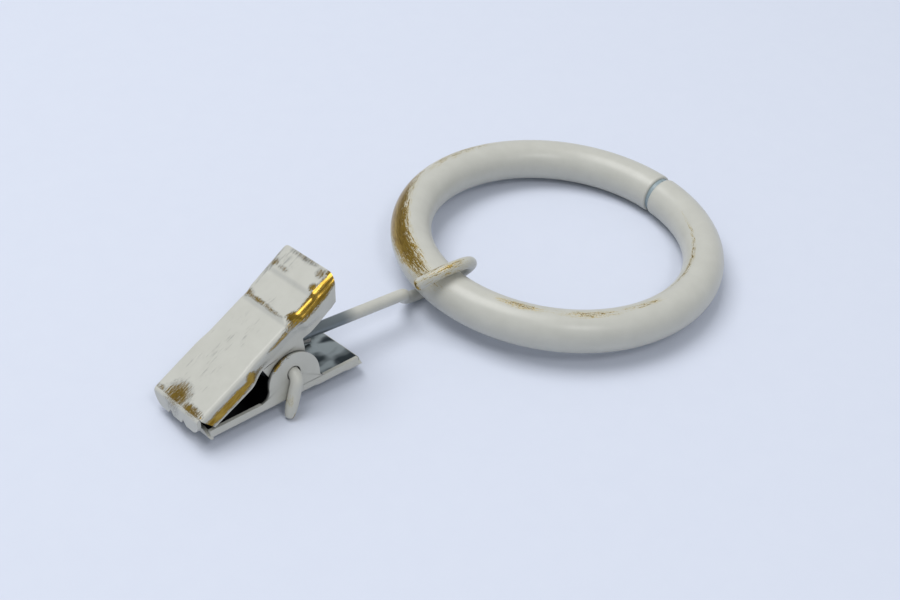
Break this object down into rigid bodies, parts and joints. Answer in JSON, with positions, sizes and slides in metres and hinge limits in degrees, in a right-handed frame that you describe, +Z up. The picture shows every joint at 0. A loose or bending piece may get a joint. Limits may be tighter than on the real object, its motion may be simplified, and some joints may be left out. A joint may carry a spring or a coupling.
{
  "type": "curtain ring with clip",
  "caption": "Painted metal curtain ring with a wire eye link and a sprung toothed clip, lying flat",
  "frame": {"origin": "middle of the ring, at the centre of its tube", "axes": "+X from the clip to the ring, along the longest extent; +Y to the clip's far side; +Z up from the table, the shortest extent"},
  "size_m": [0.0903, 0.0502, 0.0178],
  "materials": {
    "painted_ring": "off-white satin paint, worn to gold-coloured metal in places",
    "painted_wire": "off-white satin paint, bare at the cut ends",
    "painted_sheet": "off-white satin paint, scratched and worn to gold-coloured metal along the edges",
    "spring_steel": "bare spring wire"
  },
  "bodies": {
    "ring": {"ring": "painted_ring"},
    "link": {"eye_link": "painted_wire"},
    "clip": {"lower_jaw": "painted_sheet", "pivot_pin": "painted_wire", "torsion_spring": "spring_steel"},
    "upper": {"upper_jaw": "painted_sheet"}
  },
  "joints": [
    {"name": "eye_swing", "type": "hinge", "parent": "ring", "child": "link", "pos_m": [-0.02193, 0.002, 0.0011], "axis": [0.0906, 0.9959, -0.0046], "range_deg": [-150, 150]},
    {"name": "clip_swing", "type": "hinge", "parent": "link", "child": "clip", "pos_m": [-0.05016, 0.003, 0.00071], "axis": [0, 0.9877, -0.1564], "range_deg": [-12, 15]},
    {"name": "jaw_open", "type": "hinge", "parent": "clip", "child": "upper", "pos_m": [-0.05016, 0.003, 0.00071], "axis": [0, 0.9877, -0.1564], "range_deg": [0, 22], "stiffness_Nm_per_rad": 0.02, "springref_deg": -68.75, "deforming": ["torsion_spring"]}
  ]
}
